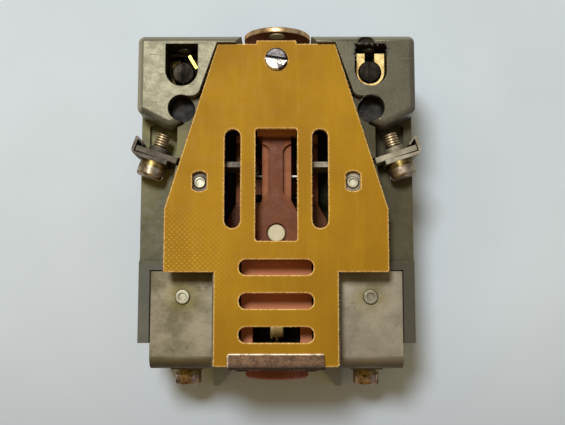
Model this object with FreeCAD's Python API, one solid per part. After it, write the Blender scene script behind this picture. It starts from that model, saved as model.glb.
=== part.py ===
"""Two-pole thermal overload relay with a tripping mechanism, lying on its back.

Frame: millimetres, +Z out of the front plate, +Y towards the reset button, +X to the right.
The origin is on the rear face, on the relay's centre line, near the middle of the housing's length.
Each function builds one piece of the relay. MODEL at the end says which file each one goes to.
"""

import FreeCAD, Part

import math
import os

V = FreeCAD.Vector

# ---- overall sizes -------------------------------------------------------------------------
HALF_WIDTH = 33.6            # housing side wall
TOP_END = 40.4               # housing end beside the reset button
NOTCH_END = 38.6             # housing end under the reset button
BOTTOM_END = -39.1           # housing end behind the setting knob
POLE_X = 22.9                # centre line of each pole
COVER_TOP = 37.0             # front face of the terminal covers
COVER_EDGE = 1.5             # rounding of the covers' outer edges
PLATE_TOP = 36.0             # front face of the laminate plate
PLATE_THICK = 1.5
DECK = PLATE_TOP - PLATE_THICK   # housing face that carries the plate
LEDGE = 28.5                 # lower side face of the housing
FRAME_TOP = 29.7             # rim round each load terminal
SEAT = 27.6                  # face under each load terminal
SHEET = 1.4                  # terminal sheet thickness
FLOOR = 3.0                  # inside face of the housing floor
PARTING_Z = 12.0             # groove along the side walls
REAR_SHEET = 1.5             # rear cover thickness
REAR_COVER_Y = (-35.0, 30.0)
CLEAR = 0.05                 # radial running clearance on pins

# ---- fixings seen from both sides ----------------------------------------------------------
INSERTS_Y = (34.0, -22.0)    # threaded bushes in the rear face
INSERT_R, INSERT_DEEP = 3.0, 8.0
LOAD_RIVET_Y = -22.7
AUX_RIVET_X, AUX_RIVET_Y = 18.4, 4.6
RIVET_R = 1.2
RETAINER_RIVET_X, RETAINER_RIVET_Z = 8.4, 29.0
RETAINER_THICK = 0.7

# ---- front plate ---------------------------------------------------------------------------
PLATE_HALF_TOP = 14.3
PLATE_HALF_WIDE = 26.7
PLATE_HALF_LOW = 14.75
PLATE_END_TOP = 38.55
PLATE_WIDE_TOP = -1.95
PLATE_WIDE_LOW = -16.95
PLATE_END_LOW = -39.05
PLATE_SCREW_Y = 34.6

# ---- cells ---------------------------------------------------------------------------------
CELL_HALF = 14.2             # centre cell, upper part
CELL_HALF_LOW = 12.0         # centre cell, lower part
CELL_Y = (-35.0, 29.5)
CELL_STEP_Y = -14.0
LEVER_POCKET_END = -36.8     # room for the trip lever's lower end
POLE_CELL_X = (16.6, 30.6)
POLE_CELL_Y = (-34.0, 27.0)
POLE_CELL_ROOF = 25.5
BRACKET_Z = 24.3             # underside of the bracket below the load terminal
BLADE_Z = (9.0, 17.0)        # bimetal strip, on edge

# ---- windows and wells in the terminal covers ----------------------------------------------
WINDOW_R = 3.92
WINDOW_Y = (27.85, 38.3)
CLAMP_Y = 32.05              # line clamp's screw
SET_SCREW_R = 2.75
WIRE_WAY_Z = 31.0
WELL_Y = 22.5
WELL_R = 3.08
WELL_DEPTH = 4.5

# ---- heaters -------------------------------------------------------------------------------
SLEEVE_Y = (-12.0, 10.0)
SLEEVE_HALF = 2.7            # half the sleeve's inner width
SLEEVE_Z = (8.2, 17.8)       # inner height
SLEEVE_WALL = 0.7
RIBBON_THICK, RIBBON_WIDE, RIBBON_PITCH = 0.6, 1.1, 2.3
RIBBON_TURNS = 9

# ---- trip mechanism ------------------------------------------------------------------------
PIVOT_Y, PIVOT_Z = 3.0, 17.0     # trip lever axle
AXLE_R = 1.0
LEVER_TOP, LEVER_THICK = 29.0, 2.5
TAIL_Z = (5.5, 7.5)              # foot of the trip lever, and the reset bar that meets it
TAIL_Y = (2.0, 4.0)
SWING_Y = -4.0                   # compensator pin
PIN_R = 1.0
BLADE_THICK = 0.9
PUSHER_Y, PUSHER_Z = (21.5, 25.0), (11.5, 14.5)
BLADE_TIP_Y = 23.2

FRAME_HALF = 10.6                # side of the mechanism frame
FRAME_SCREW_X, FRAME_SCREW_Y = 6.4, 12.5
REAR_SCREWS = [(x, y) for x in (-28.6, 28.6) for y in (-32.0, 25.0)]
SEAR_Y = (17.5, 18.7)            # latch finger of the compensator
SPRING_X, SPRING_Z = 4.6, 7.6    # centre line of the trip spring
CONTACT_X, CONTACT_Z = 7.0, 24.5     # auxiliary contacts
LEVER_RIVET_Y = -7.15

# ---- setting knob and reset button ---------------------------------------------------------
SPINDLE_Z = 17.0             # height of the knob's and the reset rod's centre lines
SPINDLE_R = 1.5
KNOB_R, KNOB_Y = 8.0, (-43.0, -40.7)
KNOB_TEETH, KNURL_R = 56, 0.34
ECCENTRIC, ECCENTRIC_R = 0.7, 1.0     # offset and radius of the spindle's eccentric pin
DISC_R, DISC_Y = 8.75, (44.95, 46.4)
ROD_R = 1.6

# ---- screws (M3, M4 and M5) ----------------------------------------------------------------
M4_R, M4_HEAD_R, M4_HEAD_H = 2.0, 3.3, 2.6
M4_HEAD_EDGE = 0.9           # rounding of the head's outer edge
M4_PITCH = 0.7
SLOT_W = 1.1
LOAD_SCREW_Z = 14.0
LOAD_FACE_Y = -40.0          # outer face of the load terminal's flange
LOAD_WASHER, SPRING_WASHER = 0.9, 1.4    # thickness of the square and the spring washers
AUX_TILT = math.radians(18.5)    # slope of the contact terminals against the X axis
AUX_POINT = V(29.3, 11.6, 32.2)  # where the screw crosses the right contact terminal
AUX_BAR_Y, AUX_BAR_TOP = 9.6, 31.2   # centre and front edge of the contact terminal's straight part
AUX_THICK = 1.35
AUX_SCREW_R, AUX_PITCH = 1.8, 0.65
AUX_CLAMP_THICK = 1.1
AUX_HOOK = 3.1               # how far the clamp's hook reaches back past the terminal


# ============================================================================================
# helpers
# ============================================================================================
def box(x0, x1, y0, y1, z0, z1):
    return Part.makeBox(x1 - x0, y1 - y0, z1 - z0, V(x0, y0, z0))


def rod(radius, start, end):
    """Cylinder from one point to another."""
    axis = end - start
    return Part.makeCylinder(radius, axis.Length, start, axis)


def upright(radius, x, y, z0, z1):
    return rod(radius, V(x, y, z0), V(x, y, z1))


def along_y(radius, x, z, y0, y1):
    return rod(radius, V(x, y0, z), V(x, y1, z))


def along_x(radius, y, z, x0, x1):
    return rod(radius, V(x0, y, z), V(x1, y, z))


def fuse(*shapes):
    whole = shapes[0].multiFuse(list(shapes[1:]))
    return whole.removeSplitter()


def mirror(shape):
    """The same piece on the other side of the relay."""
    return shape.mirror(V(0, 0, 0), V(1, 0, 0))


def both(shape):
    """A group of two: the piece and its mirror image."""
    return Part.makeCompound([shape, mirror(shape)])


def symmetric(right_half):
    """Closes an outline given as its right half, from top to bottom."""
    return right_half + [(-x, y) + tuple(r) for x, y, *r in reversed(right_half)]


def outline(points, z):
    """Closed wire through (x, y) or (x, y, corner radius) points at height z."""
    edges, count = [], len(points)
    corners = []
    for i, point in enumerate(points):
        here = V(point[0], point[1], z)
        radius = point[2] if len(point) > 2 else 0
        if not radius:
            corners.append((here, None, here))
            continue
        before, after = points[i - 1], points[(i + 1) % count]
        to_before = (V(before[0], before[1], z) - here).normalize()
        to_after = (V(after[0], after[1], z) - here).normalize()
        half = to_before.getAngle(to_after) / 2
        reach = radius / math.tan(half)
        bisector = (to_before + to_after).normalize()
        middle = here + bisector * (radius / math.sin(half) - radius)
        corners.append((here + to_before * reach, middle, here + to_after * reach))
    for i, (start, middle, end) in enumerate(corners):
        if middle:
            edges.append(Part.Arc(start, middle, end).toShape())
        following = corners[(i + 1) % count][0]
        if (following - end).Length > 1e-6:
            edges.append(Part.makeLine(end, following))
    return Part.Wire(edges)


def prism(points, z0, z1):
    return Part.Face(outline(points, z0)).extrude(V(0, 0, z1 - z0))


def slot(x0, x1, y0, y1, radius, z0, z1):
    """Rectangle with rounded corners."""
    corners = [(x0, y0), (x1, y0), (x1, y1), (x0, y1)]
    return prism([(x, y, radius) for x, y in corners], z0, z1)


def edges_at(shape, z, keep=lambda edge: True):
    """Edges that lie wholly at height z and pass the test."""
    flat = [e for e in shape.Edges if all(abs(v.Z - z) < 1e-4 for v in e.Vertexes)]
    return [e for e in flat if keep(e)]


def coil(radius, wire_r, turns, start, end):
    """Compression spring between two points."""
    axis = end - start
    length = axis.Length - 2 * wire_r
    helix = Part.makeHelix(length / turns, length, radius)
    first = helix.Edges[0]
    tangent = first.tangentAt(first.FirstParameter)
    profile = Part.Wire(Part.makeCircle(wire_r, V(radius, 0, 0), tangent))
    spring = Part.Wire(helix).makePipeShell([profile], True, True)
    spring.Placement = FreeCAD.Placement(
        start + V(axis).normalize() * wire_r, FreeCAD.Rotation(V(0, 0, 1), axis)
    )
    return spring


def threaded(radius, length, pitch):
    """Screw thread along +Z from the origin, as a row of V grooves with a pointed end."""
    depth = 0.55 * pitch
    count = int(length / pitch)
    profile = [V(0, 0, 0), V(radius, 0, 0)]
    for i in range(count):
        low = i * pitch
        profile += [V(radius, 0, low + 0.15 * pitch), V(radius - depth, 0, low + 0.5 * pitch)]
        profile += [V(radius, 0, low + 0.85 * pitch)]
    top = count * pitch
    profile += [V(radius, 0, top), V(radius - depth, 0, top + depth), V(0, 0, top + depth)]
    wire = Part.makePolygon(profile + [profile[0]])
    return Part.Face(wire).revolve(V(0, 0, 0), V(0, 0, 1), 360)


def cheese_head(radius, height, slot_width, edge=0.45):
    """Slotted head, underside at the origin and rounded face at +Z."""
    head = Part.makeCylinder(radius, height)
    head = head.makeFillet(edge, edges_at(head, height))
    cut = box(-2 * radius, 2 * radius, -slot_width / 2, slot_width / 2, 0.5 * height, 2 * height)
    return head.cut(cut)


def place(shape, origin, direction):
    """Stands a piece built along +Z at a point, pointing along a direction."""
    moved = shape.copy()
    moved.Placement = FreeCAD.Placement(origin, FreeCAD.Rotation(V(0, 0, 1), direction))
    return moved


# ============================================================================================
# housing, covers and front plate
# ============================================================================================
COVER_OUTLINE = [
    (8.5, TOP_END), (HALF_WIDTH, TOP_END, 1.6), (HALF_WIDTH, 21.8, 1.6), (25.6, 17.7, 2.2),
    (22.4, 19.6), (22.4, 25.4), (19.0, 25.4, 2.2), (14.4, 38.65), (9.9, 38.65),
]


def housing_outline():
    return symmetric([
        (8.5, NOTCH_END), (8.5, TOP_END), (HALF_WIDTH, TOP_END, 0.6), (HALF_WIDTH, -33.8, 0.5),
        (30.9, -33.8), (30.9, -38.5), (15.2, -38.5), (15.2, BOTTOM_END),
    ])


def lug():
    """Small triangular foot at the knob end, at the rear face."""
    low = BOTTOM_END - 7.0
    points = [(12.2, BOTTOM_END), (17.2, BOTTOM_END), (17.2, low, 0.6), (15.6, low, 0.5), (12.2, low + 4)]
    return prism(points, 0, 5)


def pole_cell():
    """Cell for one heater, open at the rear, and the pockets that lead to it."""
    x0, x1 = POLE_CELL_X
    y0, y1 = POLE_CELL_Y
    cell = box(x0, x1, y0, y1, REAR_SHEET, POLE_CELL_ROOF)
    nut_pocket = box(POLE_X - 3.6, POLE_X + 3.6, -38.5, y0 + 1, LOAD_SCREW_Z - 3.6, LOAD_SCREW_Z + 3.6)
    clamp_pocket = slot(POLE_X - 3.7, POLE_X + 3.7, 28.2, 37.6, 0.5, 22.0, LEDGE)
    link_way = box(POLE_X + 0.5, POLE_X + 4.6, y1 - 1, 31.0, 18.4, 23.0)
    screw_hole = upright(1.55, POLE_X, WELL_Y, 20.0, LEDGE)
    rivet_hole = upright(RIVET_R + CLEAR, POLE_X, LOAD_RIVET_Y, 20.0, SEAT)
    return fuse(cell, nut_pocket, clamp_pocket, link_way, screw_hole, rivet_hole)


def housing():
    """Grey moulding with a centre cell for the mechanism and a cell for each pole."""
    body = prism(housing_outline(), 0, LEDGE)
    deck = prism(symmetric([
        (13.9, NOTCH_END - 0.2), (18.4, 25.3, 2.0), (22.3, 25.3), (22.3, 19.0), (24.0, 18.2),
        (24.0, 10.0), (26.2, PLATE_WIDE_TOP), (26.2, -16.2), (15.2, -16.2), (15.2, BOTTOM_END),
    ]), SEAT, DECK)
    rim_side = box(30.9, HALF_WIDTH, -33.8, -14.0, LEDGE - 1, FRAME_TOP)
    rim_end = box(26.0, HALF_WIDTH, -16.2, -14.0, LEDGE - 1, FRAME_TOP)
    body = fuse(body, deck, rim_side, mirror(rim_side), rim_end, mirror(rim_end), lug(), mirror(lug()))

    seat = box(15.2, 30.9, -39.0, -16.2, SEAT, DECK)
    shallow_pocket = slot(24.6, 31.6, 9.0, 20.0, 0.6, LEDGE - 1.5, LEDGE + 1)
    foot_recess = box(15.8, 21.6, 1.6, 10.4, 33.0, DECK + 1)
    bar_slot = box(13.0, 25.0, 8.75, 10.65, LEDGE + 0.2, DECK + 1)
    foot_rivet = upright(RIVET_R + CLEAR, AUX_RIVET_X, AUX_RIVET_Y, POLE_CELL_ROOF, DECK)
    well = upright(WELL_R, POLE_X, WELL_Y, LEDGE, DECK + 1)
    pusher_way = box(CELL_HALF - 1, POLE_CELL_X[0] + 1, 21.2, 25.3, 11.2, 14.8)
    bend_relief = box(15.2, 30.9, -39.0, -36.9, 25.9, DECK)
    side_cuts = fuse(
        seat, bend_relief, pole_cell(), shallow_pocket, foot_recess, bar_slot, foot_rivet, well, pusher_way
    )

    centre_cell = fuse(
        box(-CELL_HALF, CELL_HALF, CELL_STEP_Y, CELL_Y[1], FLOOR, DECK + 1),
        box(-CELL_HALF_LOW, CELL_HALF_LOW, CELL_Y[0], CELL_STEP_Y + 1, FLOOR, DECK + 1),
    )
    rear_recess = slot(-31.6, 31.6, REAR_COVER_Y[0] - 0.2, REAR_COVER_Y[1] + 0.2, 1.0, -1, REAR_SHEET)
    side_groove = both(box(HALF_WIDTH - 0.3, HALF_WIDTH + 1, -40, 45, PARTING_Z - 0.2, PARTING_Z + 0.2))
    plate_screw_hole = upright(1.55, 0, PLATE_SCREW_Y, 25.0, DECK)
    rod_bore = along_y(ROD_R + CLEAR, 0, SPINDLE_Z, CELL_Y[1] - 1, NOTCH_END + 1)
    bush_bore = along_y(2.5, 0, SPINDLE_Z, BOTTOM_END - 1, CELL_Y[0] + 1)
    lever_pocket = box(-9.2, 9.2, LEVER_POCKET_END, CELL_Y[0] + 1, 20.5, DECK + 1)
    retainer_holes = both(
        along_y(0.9, RETAINER_RIVET_X, RETAINER_RIVET_Z, BOTTOM_END - 1, LEVER_POCKET_END - 0.3)
    )
    insert_hole = upright(INSERT_R, 0, INSERTS_Y[0], -1, INSERT_DEEP)
    body = body.cut(fuse(side_cuts, mirror(side_cuts)))
    body = body.cut([
        centre_cell, rear_recess, side_groove, lever_pocket, plate_screw_hole, rod_bore, bush_bore,
        retainer_holes, insert_hole,
    ])

    lower_boss = upright(4.2, 0, INSERTS_Y[1], 0, INSERT_DEEP + 0.5)
    lower_insert_hole = upright(INSERT_R, 0, INSERTS_Y[1], -1, INSERT_DEEP)
    cover_screw_bosses = [
        upright(2.2, x, y, REAR_SHEET, 9.0).cut(upright(0.9, x, y, 0, 8.0)) for x, y in REAR_SCREWS
    ]
    frame_holes = [upright(0.9, x, FRAME_SCREW_Y, REAR_SHEET, 8.0) for x in (-FRAME_SCREW_X, FRAME_SCREW_X)]
    return fuse(body, lower_boss, *cover_screw_bosses).cut(frame_holes + [lower_insert_hole])


def terminal_cover():
    """Right cover over the line terminal, with its window, its round well and the wire's way in."""
    body = prism(COVER_OUTLINE, LEDGE, COVER_TOP)
    outer = lambda e: e.CenterOfMass.x > 26 or e.CenterOfMass.y > TOP_END - 0.5 or e.CenterOfMass.y < 19.5
    body = body.makeFillet(COVER_EDGE, edges_at(body, COVER_TOP, outer))
    window = fuse(
        upright(WINDOW_R, POLE_X, WINDOW_Y[0] + WINDOW_R, LEDGE - 1, COVER_TOP + 1),
        box(POLE_X - WINDOW_R, POLE_X + WINDOW_R, WINDOW_Y[0] + WINDOW_R, WINDOW_Y[1],
            LEDGE - 1, COVER_TOP + 1),
    )
    well = upright(WELL_R, POLE_X, WELL_Y, LEDGE - 1, COVER_TOP + 1)
    wire_way = along_y(1.7, POLE_X, WIRE_WAY_Z, WINDOW_Y[1] - 1, TOP_END + 1)
    return body.cut([window, well, wire_way])


def terminal_cover_right():
    """Right cover, with a shallow dent beside the window's top."""
    dent = upright(1.9, POLE_X - 1.2, WINDOW_Y[1] - 0.2, COVER_TOP - 1.0, COVER_TOP + 1)
    return terminal_cover().cut(dent)


def terminal_cover_left():
    return mirror(terminal_cover())


def rear_cover():
    """Insulating sheet that closes the cells from behind."""
    sheet = slot(-31.4, 31.4, *REAR_COVER_Y, 1.0, 0, REAR_SHEET)
    holes = [upright(1.1, x, y, -1, REAR_SHEET + 1) for x, y in REAR_SCREWS]
    holes += [upright(1.85, x, y, -1, 0.9) for x, y in REAR_SCREWS]
    return sheet.cut(holes + [upright(4.3, 0, INSERTS_Y[1], -1, REAR_SHEET + 1)])


def rear_cover_screws():
    """Four short screws, heads let into the rear cover's face."""
    head = upright(1.8, 0, 0, 0.0, 0.9)
    single = head.cut(box(-3, 3, -0.25, 0.25, -1, 0.4))
    single = single.fuse(upright(0.85, 0, 0, 0.9, 7.5))
    return Part.makeCompound([single.translated(V(x, y, 0)) for x, y in REAR_SCREWS])


def front_plate():
    """Laminate plate with its ventilation and inspection slots."""
    body = prism(symmetric([
        (4.85, PLATE_END_TOP + 0.85, 0.5), (4.85, PLATE_END_TOP), (PLATE_HALF_TOP, PLATE_END_TOP, 0.4),
        (PLATE_HALF_WIDE, PLATE_WIDE_TOP, 1.0), (PLATE_HALF_WIDE, PLATE_WIDE_LOW, 0.6),
        (PLATE_HALF_LOW, PLATE_WIDE_LOW), (PLATE_HALF_LOW, PLATE_END_LOW, 0.6),
    ]), DECK, PLATE_TOP)
    low, high = DECK - 1, PLATE_TOP + 1
    cuts = [slot(-5.05, 5.05, -9.6, 17.6, 0.6, low, high)]
    cuts += [slot(-8.9, 8.9, y - 3.75, y, 1.7, low, high) for y in (-13.95, -21.9, -29.8)]
    for side in (-1, 1):
        centre = side * 10.52
        cuts.append(slot(centre - 1.95, centre + 1.95, -6.6, 17.5, 1.94, low, high))
        arched = upright(2.5, side * 18.4, 4.75, low, high)
        cuts.append(arched.common(box(side * 18.4 - 1.78, side * 18.4 + 1.78, 2.3, 8, low, high)))
    body = body.cut(cuts)
    body = body.makeChamfer(0.2, edges_at(body, PLATE_TOP))
    screw_hole = upright(1.75, 0, PLATE_SCREW_Y, low, high)
    return body.cut([screw_hole, upright(2.85, 0, PLATE_SCREW_Y, PLATE_TOP - 0.6, high)])


def front_plate_screw():
    head = cheese_head(2.75, 1.7, 0.9).rotated(V(0, 0, 0), V(0, 0, 1), -8)
    shank = threaded(1.5, 8.0, 0.5)
    screw = place(shank, V(0, 0, 0.1), V(0, 0, -1)).fuse(head)
    return screw.translated(V(0, PLATE_SCREW_Y, PLATE_TOP - 0.6))


def plate_retainer():
    """Bent steel strip that hooks over the lower end of the front plate."""
    half, outside, top = 11.5, BOTTOM_END - RETAINER_THICK, PLATE_TOP + RETAINER_THICK
    outline_points = [(-half, outside), (half, outside), (half - 0.3, -36.0, 0.4), (-half, -36.0, 0.7)]
    hook = prism(outline_points, PLATE_TOP, top)
    wall = box(-half, half, outside, BOTTOM_END, 26.2, top)
    strip = fuse(hook, wall)
    bend = edges_at(strip, top, lambda e: e.CenterOfMass.y < outside + 0.01 and e.Length > 15)
    strip = strip.makeFillet(RETAINER_THICK - 0.05, bend)
    holes = along_y(0.9, RETAINER_RIVET_X, RETAINER_RIVET_Z, BOTTOM_END - 2, BOTTOM_END + 1)
    return strip.cut(both(holes))


def retainer_rivets():
    x, z, face = RETAINER_RIVET_X, RETAINER_RIVET_Z, BOTTOM_END - RETAINER_THICK
    head = place(Part.makeCylinder(1.6, 0.7), V(x, face, z), V(0, -1, 0))
    shank = along_y(0.85, x, z, face, LEVER_POCKET_END - 0.4)
    return both(head.fuse(shank))


def mounting_inserts():
    """Two threaded bushes moulded in from the rear face."""
    bush = upright(INSERT_R, 0, 0, 0, INSERT_DEEP).cut(upright(1.65, 0, 0, -1, INSERT_DEEP - 1))
    return Part.makeCompound([bush.translated(V(0, y, 0)) for y in INSERTS_Y])


# ============================================================================================
# power circuit of each pole
# ============================================================================================
def load_terminal():
    """Bent steel plate of the right pole: face, bend and screw flange."""
    half, middle = 7.75, POLE_X + 0.15
    top = SEAT + SHEET
    face = box(middle - half, middle + half, LOAD_FACE_Y, -16.3, SEAT, top)
    flange = box(middle - half, middle + half, LOAD_FACE_Y, LOAD_FACE_Y + SHEET, 6.0, top)
    plate = fuse(face, flange)
    outer = edges_at(plate, top, lambda e: abs(e.CenterOfMass.y - LOAD_FACE_Y) < 1e-3)
    plate = plate.makeFillet(3.0, outer)
    inner = [e for e in plate.Edges if abs(e.CenterOfMass.y - LOAD_FACE_Y - SHEET) < 1e-3
             and abs(e.CenterOfMass.z - SEAT) < 1e-3]
    plate = plate.makeFillet(1.6, inner)
    screw_hole = along_y(2.15, POLE_X, LOAD_SCREW_Z, LOAD_FACE_Y - 1, LOAD_FACE_Y + 3)
    rivet_hole = upright(RIVET_R + CLEAR, POLE_X, LOAD_RIVET_Y, SEAT - 1, SEAT + 3)
    return plate.cut([screw_hole, rivet_hole])


def load_terminal_right():
    return load_terminal()


def load_terminal_left():
    return mirror(load_terminal())


def tube_rivet(x, y, low, high, rim_r=1.85):
    """Hollow rivet with a turned-over rim on top."""
    rim = upright(rim_r, x, y, high, high + 0.55)
    rim = rim.makeFillet(0.3, edges_at(rim, high + 0.55))
    stem = upright(RIVET_R, x, y, low - 0.5, high)
    collar = upright(1.8, x, y, low - 0.5, low)
    dimple = upright(0.95, x, y, high + 0.15, high + 1)
    return fuse(rim, stem, collar).cut(dimple)


def load_terminal_rivets():
    return both(tube_rivet(POLE_X, LOAD_RIVET_Y, BRACKET_Z, SEAT + SHEET))


def load_square_washers():
    half = 4.0
    outer = box(POLE_X - half, POLE_X + half, LOAD_FACE_Y - LOAD_WASHER, LOAD_FACE_Y,
                LOAD_SCREW_Z - half, LOAD_SCREW_Z + half)
    return both(outer.cut(along_y(2.15, POLE_X, LOAD_SCREW_Z, LOAD_FACE_Y - 2, LOAD_FACE_Y + 1)))


def split_washer(centre, direction, thick):
    """Spring washer along a direction, with its cut."""
    ring = Part.makeCylinder(3.3, thick).cut(Part.makeCylinder(2.15, thick * 3, V(0, 0, -thick)))
    gap = box(1.0, 5.0, -0.35, 0.35, -1, thick + 1)
    return place(ring.cut(gap), centre, direction)


def load_spring_washers():
    return both(split_washer(V(POLE_X, LOAD_FACE_Y - LOAD_WASHER, LOAD_SCREW_Z), V(0, -1, 0), SPRING_WASHER))


def load_terminal_screws():
    head = cheese_head(M4_HEAD_R, M4_HEAD_H, SLOT_W, M4_HEAD_EDGE).rotated(V(0, 0, 0), V(0, 0, 1), 25)
    shank = place(threaded(M4_R, 9.4, M4_PITCH), V(0, 0, 0.05), V(0, 0, -1))
    screw = head.fuse(shank)
    under_head = LOAD_FACE_Y - LOAD_WASHER - SPRING_WASHER
    return both(place(screw, V(POLE_X, under_head, LOAD_SCREW_Z), V(0, -1, 0)))


def load_terminal_nuts():
    nut = box(POLE_X - 3.5, POLE_X + 3.5, LOAD_FACE_Y + SHEET + 0.1, LOAD_FACE_Y + SHEET + 3.2,
              LOAD_SCREW_Z - 3.5, LOAD_SCREW_Z + 3.5)
    return both(nut.cut(along_y(M4_R + CLEAR, POLE_X, LOAD_SCREW_Z, LOAD_FACE_Y, LOAD_FACE_Y + 9)))


def bimetal_bracket(x, outward):
    """Steel angle under a load terminal: holds the bimetal's fixed end and the heater's tail."""
    top = box(x - 2.6, x + 2.6, -26.0, -18.6, BRACKET_Z, POLE_CELL_ROOF)
    blade_side = x - BLADE_THICK / 2 - 0.02
    tab = box(blade_side - 1.0, blade_side, -20.4, -18.6, BLADE_Z[0], BRACKET_Z + 0.1)
    tail_side = x + outward * 4.05
    tail_lug = box(min(tail_side, tail_side + outward * 0.8), max(tail_side, tail_side + outward * 0.8),
                   -20.4, -18.6, 15.0, POLE_CELL_ROOF)
    arm = box(min(x, tail_side), max(x, tail_side), -20.4, -18.6, BRACKET_Z, POLE_CELL_ROOF)
    return fuse(top, tab, tail_lug, arm).cut(upright(RIVET_R + CLEAR, x, LOAD_RIVET_Y, 24, 26))


def bimetal_brackets():
    return Part.makeCompound([bimetal_bracket(-POLE_X, -1), bimetal_bracket(POLE_X, 1)])


def bimetal(x):
    """Bimetal strip on edge, fixed at its lower end, bending towards +X when hot."""
    half = BLADE_THICK / 2
    return box(x - half, x + half, -20.3, BLADE_TIP_Y, *BLADE_Z)


def bimetal_right():
    return bimetal(POLE_X)


def bimetal_left():
    return bimetal(-POLE_X)


def heater_sleeve(x):
    """Mica tube round the bimetal, wide enough for it to bend in."""
    (z0, z1), w = SLEEVE_Z, SLEEVE_WALL
    outer = box(x - SLEEVE_HALF - w, x + SLEEVE_HALF + w, *SLEEVE_Y, z0 - w, z1 + w)
    return outer.cut(box(x - SLEEVE_HALF, x + SLEEVE_HALF, SLEEVE_Y[0] - 1, SLEEVE_Y[1] + 1, z0, z1))


def heater_sleeve_right():
    return heater_sleeve(POLE_X)


def heater_sleeve_left():
    return heater_sleeve(-POLE_X)


def heater_winding(x, outward):
    """Resistance ribbon wound round the sleeve, with a tail to each terminal."""
    wall = SLEEVE_WALL + 0.03
    thick, wide, pitch = RIBBON_THICK, RIBBON_WIDE, RIBBON_PITCH
    left, right = x - SLEEVE_HALF - wall, x + SLEEVE_HALF + wall
    low, high = SLEEVE_Z[0] - wall, SLEEVE_Z[1] + wall
    first = SLEEVE_Y[0] + 0.9
    last = first + (RIBBON_TURNS - 1) * pitch
    pieces = []
    for i in range(RIBBON_TURNS):
        y = first + i * pitch
        ring = box(left - thick, right + thick, y, y + wide, low - thick, high + thick)
        pieces.append(ring.cut(box(left, right, y - 1, y + wide + 1, low, high)))
        if i < RIBBON_TURNS - 1:
            side = left - thick if i % 2 else right
            pieces.append(box(side, side + thick, y, y + pitch + wide, 12.0, 13.2))
    edge = right if outward > 0 else left - thick
    pieces.append(box(edge, edge + thick, -19.6, first + wide, 16.0, 18.0))
    pieces.append(box(edge, edge + thick, last, 14.0, 16.0, 18.0))
    return fuse(*pieces)


def heater_winding_right():
    return heater_winding(POLE_X, 1)


def heater_winding_left():
    return heater_winding(-POLE_X, -1)


def heater_link():
    """Copper strap of the right pole, from the heater's upper end to the line clamp."""
    strap = box(26.95, 27.85, 11.0, 27.0, 16.0, 18.0)
    riser = box(23.8, 27.85, 26.2, 27.0, 16.0, 21.4)
    tongue = box(23.8, 27.2, 26.2, 30.9, 20.6, 21.4)
    post = box(23.8, 26.2, 28.6, 30.9, 20.6, 23.95)
    return fuse(strap, riser, tongue, post)


def heater_link_right():
    return heater_link()


def heater_link_left():
    return mirror(heater_link())


def line_clamp(top):
    """Brass clamp: screw hole, and a slot for the wire towards the housing's end."""
    radius, base, middle = 3.4, 24.0, POLE_X + 0.2
    round_end = upright(radius, middle, CLAMP_Y, base, top)
    block = fuse(round_end, box(middle - radius, middle + radius, CLAMP_Y, 36.8, base, top))
    hole = upright(SET_SCREW_R + 0.07, POLE_X, CLAMP_Y, base + 2, top + 1)
    wire_slot = box(POLE_X - 1.2, POLE_X + 1.2, CLAMP_Y, 38.0, base + 3.0, top + 1)
    return block.cut([hole, wire_slot])


def line_clamp_right():
    return line_clamp(33.6)


def line_clamp_left():
    """The left clamp sits low in its window, with one jaw bent up and outwards."""
    jaw = box(-0.4, 0.4, -1.9, 1.9, 26.0, 33.0).rotated(V(0, 0, 0), V(0, 0, 1), 30)
    return fuse(mirror(line_clamp(28.2)), jaw.translated(V(2.3 - POLE_X, CLAMP_Y + 2.85, 0)))


def set_screw(low, high):
    body = upright(SET_SCREW_R, POLE_X, CLAMP_Y, low, high)
    body = body.makeFillet(0.4, edges_at(body, high))
    return body.cut(box(POLE_X - 0.35, POLE_X + 0.35, 28, 36, high - 0.5, high + 1))


def line_clamp_screws():
    """Blackened set screws; the left one stands deeper in its clamp."""
    return Part.makeCompound([set_screw(28.0, 34.4), mirror(set_screw(26.2, 33.4))])


def well_plugs():
    """Sealing compound over each calibration screw."""
    plug = upright(WELL_R, POLE_X, WELL_Y, LEDGE, COVER_TOP - WELL_DEPTH)
    return both(plug)


def calibration_screws():
    screw = upright(1.5, POLE_X, WELL_Y, 21.0, LEDGE)
    return both(screw.cut(box(POLE_X - 2, POLE_X + 2, WELL_Y - 0.3, WELL_Y + 0.3, LEDGE - 0.7, LEDGE + 1)))


# ============================================================================================
# auxiliary contact circuit
# ============================================================================================
AUX_DIR = V(math.sin(AUX_TILT), -math.cos(AUX_TILT), 0)     # right screw, from the bar to its head
AUX_ALONG = V(math.cos(AUX_TILT), math.sin(AUX_TILT), 0)    # right bar, outwards
AUX_Z = (LEDGE + 0.4, 35.5)


# from (along the bar, out towards the head, minus height) to the relay's frame
AUX_MATRIX = FreeCAD.Matrix(
    AUX_ALONG.x, AUX_DIR.x, 0, AUX_POINT.x,
    AUX_ALONG.y, AUX_DIR.y, 0, AUX_POINT.y,
    0, 0, -1, 0,
    0, 0, 0, 1,
)


def aux_frame(along0, along1, out0, out1, z0, z1):
    """Box beside the right contact screw: along the bar, out towards the head, and in height."""
    return box(along0, along1, out0, out1, -z1, -z0).transformGeometry(AUX_MATRIX)


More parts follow.
